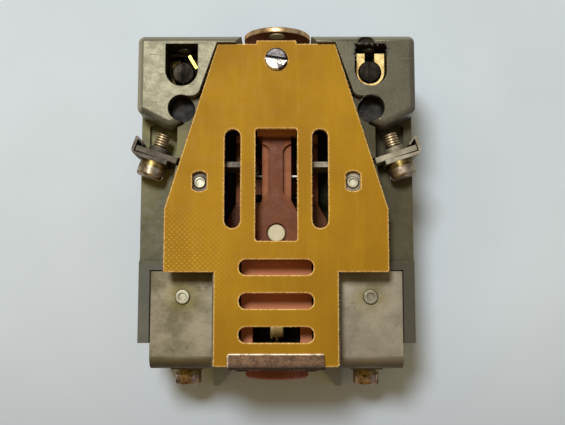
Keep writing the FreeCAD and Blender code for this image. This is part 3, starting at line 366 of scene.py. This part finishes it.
def sealing_compound():
    """Dark wax with scraped pale lines."""
    look = Look("sealing_compound")
    colour = look.mix(look.ramp(look.noise(0.0022, 5), 0.35, 0.65), srgb(34, 29, 24), srgb(56, 48, 40))
    turn = {"Vector": look.point, "Rotation": (0, 0, 0.9), "Scale": (0.25, 2, 1)}
    turned = look.add("ShaderNodeMapping", turn).outputs[0]
    scrape = look.ramp(look.noise(0.0010, 2, vector=turned), 0.60, 0.72, 0, 0.5)
    colour = look.mix(scrape, colour, srgb(92, 82, 70))
    rough = look.ramp(look.noise(0.001, 3), 0.3, 0.7, 0.6, 0.8)
    height = look.math("ADD", look.noise(0.0009, 4), look.times(scrape, -1.0))
    return look.finish(colour, rough, bump=height, depth=0.0001, Specular_IOR_Level=0.2)


def retainer_steel():
    """Speckled pinkish strip, with a painted highlight along its top and left edges and painted shade where
    it bends down.
    """
    low, high = corners("plate_retainer")
    look = Look("retainer_steel")
    x, y, _ = look.axes()
    colour = look.mix(look.ramp(look.noise(0.0022, 4), 0.3, 0.7), srgb(84, 56, 32), srgb(120, 88, 58))
    specks = look.ramp(look.noise(0.00035, 3), 0.56, 0.72, 0, 0.75)
    colour = look.mix(specks, colour, srgb(180, 150, 112))
    pits = look.ramp(look.noise(0.0006, 3), 0.6, 0.7, 0, 0.5)
    colour = look.mix(pits, colour, srgb(80, 56, 38))
    # painted shade where the strip bends down away from the light
    bend_shade = look.ramp(y, high.y - 2.0 * MM, low.y + 0.4 * MM, 0.0, 0.9)
    colour = look.mix(bend_shade, colour, srgb(52, 36, 24))
    # painted highlight along the top and left edges
    top = look.ramp(y, high.y - 0.45 * MM, high.y - 0.15 * MM)
    left = look.ramp(x, low.x + 0.5 * MM, low.x + 0.2 * MM)
    left = look.times(left, look.ramp(y, low.y, high.y - 1.5 * MM))
    broken = look.ramp(look.noise(0.0010, 3), 0.35, 0.6, 0.35, 1.0)
    rim = look.times(look.math("MAXIMUM", top, left), broken)
    colour = look.mix(rim, colour, srgb(255, 226, 190))
    rough = look.ramp(look.noise(0.001, 3), 0.3, 0.7, 0.35, 0.55)
    return look.finish(colour, rough, 0.55, bump=look.noise(0.0004, 3), depth=0.00003, round_edges=0.0003)


def screw_painted_light():
    """Screw head with painted shade on its half above the slot and in flecks on its lower right, and a
    painted highlight on its lower left.
    """
    centre = middle("front_plate_screw")
    look = Look("screw_painted_light")
    x, y, _ = look.axes()
    across = look.math("SUBTRACT", x, centre.x)
    above = look.math("ADD", look.math("SUBTRACT", y, centre.y), look.times(across, 0.12))
    # the painted highlight colour, then the colour of the painted shade
    bright = look.mix(look.ramp(look.noise(0.0014, 4), 0.35, 0.65), srgb(196, 176, 138), srgb(255, 246, 220))
    dark = look.mix(look.ramp(look.noise(0.0016, 5), 0.3, 0.7), srgb(46, 40, 36), srgb(84, 76, 70))
    flecks = look.ramp(look.noise(0.0012, 2), 0.62, 0.5)
    lower_right = look.times(look.ramp(across, -0.1 * MM, 0.3 * MM), flecks)
    # painted shade above the slot and in flecks to the lower right
    screw_shade = look.math("MAXIMUM", look.ramp(above, -0.3 * MM, 0.1 * MM), lower_right)
    colour = look.mix(screw_shade, bright, dark)
    rough = look.ramp(look.noise(0.001, 3), 0.3, 0.7, 0.3, 0.5)
    return look.finish(colour, rough, 0.8, bump=look.noise(0.0005, 3), depth=0.00002, round_edges=0.0002)


def housing_grey():
    """Olive grey moulding with pale feet: neutral at its low end, painted light in a neutral tone on its
    outer walls and round the left recess, painted shade to the right.
    """
    # painted light: the upright outer walls are painted lighter and neutral
    outer = (upright_faces(0.85), srgb(122, 117, 102))
    low_end = (beyond(Y, TERMINAL_HIGH.y + 3.3 * MM, TERMINAL_HIGH.y + 0.3 * MM, 0.6), srgb(96, 93, 88))
    # painted light: the left recess painted paler olive, as where light falls on it
    olive = (stain_round(LEFT_RECESS, 13 * MM, 0.8), srgb(156, 147, 100))
    # painted shade over the right side
    right_shade = (beyond(X, 5 * MM, 20 * MM, 0.55), srgb(58, 48, 32))
    feet = (beyond(Y, TERMINAL_LOW.y - 0.2 * MM, TERMINAL_LOW.y - 0.6 * MM, 0.75), srgb(176, 180, 184))
    return moulding(
        "housing_grey", srgb(84, 77, 50), srgb(108, 100, 68), srgb(142, 134, 104), stain=srgb(84, 78, 38),
        patches=[outer, low_end, olive, right_shade, feet, *opening_wall_shade()], Specular_IOR_Level=0.28,
    )


def cover_grey():
    """Glossier grey moulding: painted light along the left flank, paler along the top end, painted shade in
    the dent.
    """
    # painted light on the left flank's rounded edge
    flank = (beyond(X, 1.6 * MM - COVER_HIGH.x, 0.4 * MM - COVER_HIGH.x, 0.75), srgb(164, 154, 130))
    top_end = (beyond(Y, COVER_HIGH.y - 1.5 * MM, COVER_HIGH.y - 0.5 * MM, 0.7), srgb(150, 143, 124))
    # painted shade in the dent
    dent = (lambda look: look.near(DENT, 2.5 * MM, 1.7 * MM), srgb(34, 27, 22))
    return moulding(
        "cover_grey", srgb(74, 69, 57), srgb(90, 84, 70), srgb(146, 138, 114), 0.27, 0.35,
        stain=srgb(66, 54, 34), patches=[flank, top_end, dent, *opening_wall_shade()],
        Specular_IOR_Level=0.34, Specular_Tint=(1.0, 0.84, 0.48, 1.0),
    )


def brown_phenolic():
    """Brown moulding of the mechanism, with painted light making the lever's cheeks, head and low end
    lighter.
    """
    # painted light: the lever's low end, hollowed cheeks and head are painted lighter, as where light
    # reaches them
    low_end = (beyond(Y, LEVER_RIVET.y - 4.85 * MM, LEVER_RIVET.y - 7.85 * MM, 0.8), srgb(214, 134, 92))
    cheeks = (lever_cheeks, srgb(166, 104, 70))
    head = (beyond(Y, LEVER_HIGH.y - 2.6 * MM, LEVER_HIGH.y - 1.4 * MM, 0.8), srgb(226, 146, 92))
    return moulding(
        "brown_phenolic", srgb(99, 48, 15), srgb(122, 64, 24), srgb(170, 112, 68), 0.4, 0.55, 0.5,
        stain=srgb(96, 46, 16), patches=[low_end, cheeks, head], Specular_IOR_Level=0.14,
    )


def knob_brown():
    return moulding("knob_brown", srgb(140, 62, 32), srgb(172, 88, 52), srgb(214, 150, 104), 0.35, 0.5)


def pressed_sheet():
    return moulding("pressed_sheet", srgb(70, 52, 34), srgb(88, 68, 46), srgb(130, 104, 74), 0.5, 0.7)


def mica():
    return moulding("mica", srgb(176, 164, 136), srgb(206, 196, 170), srgb(230, 222, 200), 0.3, 0.5)


def white_enamel():
    return moulding(
        "white_enamel", srgb(188, 168, 118), srgb(210, 192, 144), srgb(232, 218, 180), 0.3, 0.45, 0.5,
    )


def plated_steel():
    """Dull plating: painted light on the right terminal, painted shade where the terminals turn down, green
    stains round the rivets.
    """
    # painted light on the right terminal
    right = (beyond(X, -1 * MM, 1 * MM, 0.4), srgb(166, 152, 130))
    # painted shade where the terminals turn down at their low end
    bend_shade = (beyond(Y, TERMINAL_LOW.y + 2.0 * MM, TERMINAL_LOW.y + 0.6 * MM, 0.5), srgb(66, 54, 40))
    places = [(side * LOAD_RIVET.x, LOAD_RIVET.y, LOAD_RIVET.z) for side in (-1, 1)]
    stains = [(stain_round(place, 6.2 * MM, 0.7), srgb(108, 94, 44)) for place in places]
    return metal(
        "plated_steel", srgb(112, 100, 77), srgb(134, 122, 98), srgb(78, 64, 42), 0.5, 0.65,
        stain_share=0.3, cloud_size=0.007, patches=[right, bend_shade, *stains],
    )


def dull_plating(name, dark, light, stain, **more):
    """Matt plating of the contact circuit, paler on the right than on the left."""
    right = (beyond(X, -1 * MM, 1 * MM, 0.5), srgb(196, 182, 152))
    return metal(name, dark, light, stain, 0.6, 0.75, (3, 0.5, 3), 0.7, patches=[right], **more)


def aux_plating():
    return dull_plating("aux_plating", srgb(98, 88, 74), srgb(126, 114, 97), srgb(44, 32, 20))


def clamp_plating():
    return dull_plating(
        "clamp_plating", srgb(88, 78, 68), srgb(122, 110, 96), srgb(40, 30, 22), rubbed_share=0.3,
    )


def screw_steel(name="screw_steel", patches=()):
    return metal(
        name, srgb(92, 68, 50), srgb(198, 178, 150), srgb(54, 38, 26), 0.34, 0.5,
        cloud_size=0.0022, rubbed_share=0.3, patches=patches,
    )


def aux_screw_steel():
    """Screw steel, bright on the thread."""
    thread = (beyond(Y, THREAD_END - 4.2 * MM, THREAD_END - 3.4 * MM, 0.85), srgb(224, 200, 158))
    return screw_steel("aux_screw_steel", [thread])


def gilt_screw():
    return metal(
        "gilt_screw", srgb(78, 52, 36), srgb(184, 150, 118), srgb(44, 26, 16), 0.16, 0.32,
        stain_share=0.7, cloud_size=0.0018, rubbed_share=0.3,
    )


def washer_brass():
    return metal(
        "washer_brass", srgb(70, 50, 28), srgb(150, 126, 72), srgb(36, 24, 12), 0.36, 0.52,
        stain_share=0.8, cloud_size=0.0016, rubbed_share=0.3,
    )


def tarnished_steel():
    return metal(
        "tarnished_steel", srgb(150, 122, 92), srgb(208, 184, 150), srgb(84, 48, 20), 0.25, 0.45,
        (3, 0.3, 3),
    )


def aluminium():
    return metal("aluminium", srgb(126, 116, 92), srgb(160, 150, 124), srgb(84, 70, 46), 0.42, 0.58)


def brass():
    return metal(
        "brass", srgb(150, 112, 58), srgb(206, 184, 122), srgb(124, 78, 40), 0.4, 0.55,
        stain_share=0.6, rubbed_share=0.35,
    )


def brass_painted_shade():
    """Brass painted nearly black as the shade deep in the left window, with the bright raised jaw of the
    left clamp.
    """
    # only the raised jaw keeps bright brass; below it the brass is painted shade
    jaw = (beyond(Z, JAW_TOP - 4.0 * MM, JAW_TOP - 3.4 * MM), srgb(186, 164, 74))
    return metal(
        "brass_painted_shade", srgb(38, 30, 16), srgb(70, 56, 26), srgb(18, 15, 9), 0.4, 0.55,
        stain_share=0.8, patches=[jaw],
    )


def copper():
    return metal("copper", srgb(150, 86, 52), srgb(190, 120, 80), srgb(80, 42, 24), 0.3, 0.5)


def heater_ribbon():
    return metal("heater_ribbon", srgb(110, 104, 96), srgb(140, 134, 124), srgb(60, 56, 50), 0.4, 0.6)


def bimetal():
    return metal(
        "bimetal", srgb(150, 146, 134), srgb(184, 180, 168), srgb(96, 88, 70), 0.3, 0.45, (3, 0.2, 3),
    )


def silver():
    return metal("silver", srgb(112, 106, 92), srgb(148, 140, 124), srgb(70, 62, 50), 0.45, 0.6)


def blackened_steel():
    return metal(
        "blackened_steel", srgb(24, 20, 15), srgb(42, 36, 28), srgb(14, 12, 9), 0.45, 0.65,
        rubbed_share=0.15,
    )


NODES_OF = {
    housing_grey: ["housing"],
    cover_grey: ["terminal_cover_left", "terminal_cover_right"],
    brown_phenolic: ["trip_lever", "mechanism_frame"],
    knob_brown: ["setting_knob"],
    pressed_sheet: ["rear_cover", "pusher_bar"],
    mica: ["heater_sleeve_left", "heater_sleeve_right"],
    plated_steel: ["load_terminal_left", "load_terminal_right", "load_square_washers",
                   "load_terminal_nuts", "bimetal_brackets"],
    aux_plating: ["aux_terminal_left", "aux_terminal_right"],
    clamp_plating: ["aux_clamps"],
    retainer_steel: ["plate_retainer", "retainer_rivets"],
    screw_painted_light: ["front_plate_screw"],
    screw_steel: ["rear_cover_screws", "frame_screws", "calibration_screws", "compensator_pin",
                  "spindle_clip", "trip_spring", "bridge_spring"],
    aux_screw_steel: ["aux_terminal_screws"],
    gilt_screw: ["load_terminal_screws"],
    washer_brass: ["load_spring_washers", "aux_spring_washers"],
    disc_painted_reflection: ["reset_disc"],
    tarnished_steel: ["reset_rod", "setting_spindle"],
    aluminium: ["load_terminal_rivets", "aux_terminal_rivets"],
    brass: ["line_clamp_right", "mounting_inserts", "spindle_bush", "setting_carrier"],
    brass_painted_shade: ["line_clamp_left"],
    copper: ["heater_link_left", "heater_link_right"],
    heater_ribbon: ["heater_winding_left", "heater_winding_right"],
    bimetal: ["bimetal_left", "bimetal_right", "compensator"],
    silver: ["fixed_contacts", "moving_contacts", "contact_bridge"],
    blackened_steel: ["line_clamp_screws", "pivot_pin"],
    white_enamel: ["lever_rivet", "reset_disc_rivet"],
    laminate: ["front_plate"],
}


def dress_nodes():
    """Gives every node of the frame its material."""
    for make_material, names in NODES_OF.items():
        material = make_material()
        for name in names:
            NODES[name].data.materials.clear()
            NODES[name].data.materials.append(material)


# ============================================================================================
# new pieces
# ============================================================================================
def new_piece(name, mesh, material, body, smooth=False):
    """Makes a piece from a bmesh, gives it its material and lets it ride on a body."""
    data = bpy.data.meshes.new(name)
    bmesh.ops.recalc_face_normals(mesh, faces=mesh.faces)
    mesh.to_mesh(data)
    mesh.free()
    piece = bpy.data.objects.new(name, data)
    bpy.context.scene.collection.objects.link(piece)
    data.materials.append(material)
    if smooth:
        data.shade_smooth()
    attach(piece, body)
    return piece


def plug_top(x, y):
    """Height of the compound's surface above its lowest level, from the well's centre."""
    share = math.hypot(x, y) / WELL_R
    climb = 0.25 * MM * share ** 6
    ripple = 0.08 * MM * noise.noise(Vector((x, y, 3 * MM)) / (1.6 * MM))
    return climb + ripple


def compound_plug(mesh, side):
    """Cylinder of sealing compound whose top climbs the well's wall and is scraped uneven."""
    rings, spokes = 7, 36
    radius = WELL_R - 0.02 * MM
    centre = Vector((side * WELL.x, WELL.y, 0))
    base_z, top_z = PLUG_LOW.z + 0.1 * MM, PLUG_HIGH.z - 0.1 * MM

    def vertex(share, angle):
        x, y = radius * share * math.cos(angle), radius * share * math.sin(angle)
        return mesh.verts.new(centre + Vector((x, y, top_z + plug_top(x, y))))

    angles = [2 * math.pi * i / spokes for i in range(spokes)]
    middle_vertex = vertex(0, 0)
    loops = [[vertex(r / rings, a) for a in angles] for r in range(1, rings + 1)]
    foot = centre + Vector((0, 0, base_z))
    loops.append([mesh.verts.new(foot + radius * Vector((math.cos(a), math.sin(a), 0))) for a in angles])
    for i in range(spokes):
        j = (i + 1) % spokes
        mesh.faces.new([middle_vertex, loops[0][i], loops[0][j]])
        for inner, outer in zip(loops, loops[1:]):
            mesh.faces.new([inner[i], outer[i], outer[j], inner[j]])
    mesh.faces.new(reversed(loops[-1]))


def well_plugs():
    """Sealing compound in both wells, in place of the plain plugs."""
    mesh = bmesh.new()
    for side in (-1, 1):
        compound_plug(mesh, side)
    plugs = new_piece("compound_plugs", mesh, sealing_compound(), "housing", smooth=True)
    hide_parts("well_plugs")


def shard(mesh, place, size, draw):
    """One broken flake, flattened and turned at random."""
    made = bmesh.ops.create_icosphere(mesh, subdivisions=1, radius=size / 2)["verts"]
    heading = Matrix.Rotation(draw.uniform(0, math.tau), 3, "Z")
    turn = heading @ Matrix.Rotation(draw.uniform(-0.5, 0.5), 3, "X")
    for v in made:
        stretch = Vector((1.0, draw.uniform(0.45, 0.75), 0.4))
        jitter = 1 + 0.35 * noise.noise(v.co / (0.3 * size) + place * 1000)
        v.co = place + turn @ Vector(c * s * jitter for c, s in zip(v.co, stretch))


def cover_flakes():
    """Dark broken moulding flash round the right window's top and the top of its well."""
    draw = random.Random(11)
    mesh = bmesh.new()
    level = COVER_HIGH.z - 0.05 * MM

    # along the window's top, down both its sides, and round the top of the well
    at_top, at_side, round_well = 13, 9, 15
    for i in range(at_top):
        x = POLE_X + WINDOW_R * (2 * i / (at_top - 1) - 1) + draw.uniform(-0.3, 0.3) * MM
        place = Vector((x, WINDOW_TOP + draw.uniform(-0.25, 0.2) * MM, level))
        shard(mesh, place, draw.uniform(0.6, 1.1) * MM, draw)
    for side, reach in ((-1, 4.6), (1, 3.2)):
        for i in range(at_side):
            y = WINDOW_TOP - reach * MM * i / at_side
            x = POLE_X + side * (WINDOW_R + draw.uniform(-0.15, 0.3) * MM)
            shard(mesh, Vector((x, y, level)), draw.uniform(0.35, 0.9) * MM, draw)
    for i in range(round_well):
        angle = math.radians(55 + 100 * i / (round_well - 1) + draw.uniform(-4, 4))
        out = WELL_R + draw.uniform(-0.1, 0.25) * MM
        x, y = POLE_X + out * math.cos(angle), WELL.y + out * math.sin(angle)
        place = Vector((x, y, level + 0.01 * MM))
        shard(mesh, place, draw.uniform(0.35, 0.8) * MM, draw)
    flake = moulding("dark_flash", srgb(40, 34, 27), srgb(66, 58, 48), srgb(120, 108, 90), 0.3, 0.5)
    new_piece("cover_flakes", mesh, flake, "housing")


def fibre(mesh, start, end, radius):
    """Three-sided pointed thread."""
    axis = (end - start).normalized()
    side = axis.orthogonal().normalized()
    ring = [start + radius * (Matrix.Rotation(math.tau * i / 3, 3, axis) @ side) for i in range(3)]
    base = [mesh.verts.new(p) for p in ring]
    tip = mesh.verts.new(end)
    mesh.faces.new(reversed(base))
    for i in range(3):
        mesh.faces.new([base[i], base[(i + 1) % 3], tip])


def plate_fibres():
    """Frayed cloth ends along every cut edge of the front plate."""
    draw = random.Random(3)
    data = NODES["front_plate"].data
    mesh = bmesh.new()
    level = PLATE_HIGH.z - 0.15 * MM
    spacing = 0.42 * MM
    for polygon in data.polygons:
        level_face = abs(polygon.normal.z) > 0.2
        sliver = polygon.area < 1e-9
        if level_face or sliver:
            continue
        ends = {tuple(round(c, 7) for c in data.vertices[i].co.xy) for i in polygon.vertices}
        if len(ends) != 2:
            continue
        a, b = (Vector((*p, level)) for p in sorted(ends))
        count = max(1, round((b - a).length / spacing))
        for i in range(count):
            worn_away = draw.random() < 0.3
            if worn_away:
                continue
            start = a.lerp(b, (i + draw.random()) / count) - 0.12 * MM * polygon.normal
            along = (b - a).normalized() * draw.uniform(-0.5, 0.5)
            lean = polygon.normal + along + Vector((0, 0, draw.uniform(0.1, 0.9)))
            end = start + lean.normalized() * draw.uniform(0.2, 0.42) * MM
            fibre(mesh, start, end, draw.uniform(0.04, 0.08) * MM)
    look = Look("bare_fibre")
    tint = look.mix(look.ramp(look.noise(0.0008, 3), 0.35, 0.65), srgb(206, 152, 72), srgb(255, 222, 154))
    rough = look.ramp(look.noise(0.0004, 2), 0.3, 0.7, 0.6, 0.8)
    new_piece("plate_fibres", mesh, look.finish(tint, rough, bump=look.noise(0.0001, 2)), "housing")


def soften_edges():
    """Rounds the visible edges of moulded and pressed parts by the small radius that they really have."""
    widths = {
        "housing": 0.2, "terminal_cover_left": 0.2, "terminal_cover_right": 0.2, "trip_lever": 0.3,
        "mechanism_frame": 0.2, "load_terminal_left": 0.12, "load_terminal_right": 0.12,
        "load_square_washers": 0.1, "plate_retainer": 0.1, "aux_clamps": 0.12, "reset_disc": 0.1,
        "setting_carrier": 0.08, "line_clamp_left": 0.12, "line_clamp_right": 0.12, "lever_rivet": 0.08,
    }
    for name, width in widths.items():
        weld = NODES[name].modifiers.new("weld", "WELD")
        weld.merge_threshold = 1e-6
        bevel = NODES[name].modifiers.new("bevel", "BEVEL")
        bevel.width = width * MM
        bevel.segments = 2
        bevel.limit_method = "ANGLE"
        bevel.angle_limit = math.radians(35)


# ============================================================================================
# floor, light and camera
# ============================================================================================
def floor():
    """Plain pale paper, with painted shade towards the knob's side."""
    bpy.ops.mesh.primitive_plane_add(size=14, location=(0, 0, -0.02 * MM))
    ground = bpy.context.object
    ground.name = "floor"
    look = Look("pale_paper")
    tint = look.mix(look.ramp(look.noise(0.05, 3), 0.3, 0.7), (0.60, 0.62, 0.61), (0.64, 0.66, 0.65))
    y = look.axes()[Y]
    # painted shade: the paper darkens towards the knob's side
    tint = look.mix(look.ramp(y, -0.015, -0.075, 0.0, 1.0), tint, (0.49, 0.50, 0.50))
    ground.data.materials.append(look.finish(tint, 0.8, bump=look.noise(0.0006, 3), depth=0.00002))


def window_light():
    """Broad cool light from the upper left, steep enough to reach into the slots."""
    data = bpy.data.lights.new("window", "AREA")
    data.shape = "DISK"
    data.size = 0.15
    data.energy = 3.3
    data.color = (0.87, 0.96, 1.11)
    light = bpy.data.objects.new("window", data)
    bpy.context.scene.collection.objects.link(light)
    light.location = (-0.10, 0.20, 0.60)
    target = Vector((0, 0, 0.02))
    light.rotation_euler = (target - light.location).to_track_quat("-Z", "Y").to_euler()


def sky():
    """Soft room light: pale overhead, warm from the knob's side, bluish from the right, dim low down."""
    world = bpy.data.worlds.new("studio")
    world.use_nodes = True
    tree = world.node_tree
    direction = tree.nodes.new("ShaderNodeTexCoord").outputs["Generated"]
    split = tree.nodes.new("ShaderNodeSeparateXYZ")
    tree.links.new(direction, split.inputs[0])

    def share(axis, start, end):
        node = tree.nodes.new("ShaderNodeMapRange")
        tree.links.new(split.outputs[axis], node.inputs["Value"])
        node.inputs["From Min"].default_value = start
        node.inputs["From Max"].default_value = end
        return node.outputs[0]

    colour = (0.35, 0.325, 0.19, 1.0)
    warm, blue, dim = (0.36, 0.25, 0.08, 1.0), (0.28, 0.36, 0.54, 1.0), (0.27, 0.26, 0.23, 1.0)
    layers = [(share(Y, 0.15, -0.4), warm), (share(X, 0.35, 0.9), blue), (share(Z, 0.42, 0.05), dim)]
    for factor, tint in layers:
        node = tree.nodes.new("ShaderNodeMix")
        node.data_type = "RGBA"
        tree.links.new(factor, node.inputs[0])
        if isinstance(colour, tuple):
            node.inputs[MIX_A].default_value = colour
        else:
            tree.links.new(colour, node.inputs[MIX_A])
        node.inputs[MIX_B].default_value = tint
        colour = node.outputs[MIX_RESULT]
    tree.links.new(colour, tree.nodes["Background"].inputs[0])
    bpy.context.scene.world = world


def camera():
    """Looks down from above the front plate, tilted a little from the knob's side."""
    data = bpy.data.cameras.new("camera")
    data.sensor_width = 36.0
    data.lens = 53.61
    data.clip_start = 0.01
    eye = bpy.data.objects.new("camera", data)
    bpy.context.scene.collection.objects.link(eye)
    eye.location = (0.0026, -0.02576, 0.2349)
    eye.rotation_euler = (0.1148, 0.0055, 0.0)
    bpy.context.scene.camera = eye


dress_nodes()
well_plugs()
cover_flakes()
plate_fibres()
soften_edges()
floor()
sky()
window_light()
camera()
bpy.context.scene.view_settings.view_transform = "Standard"
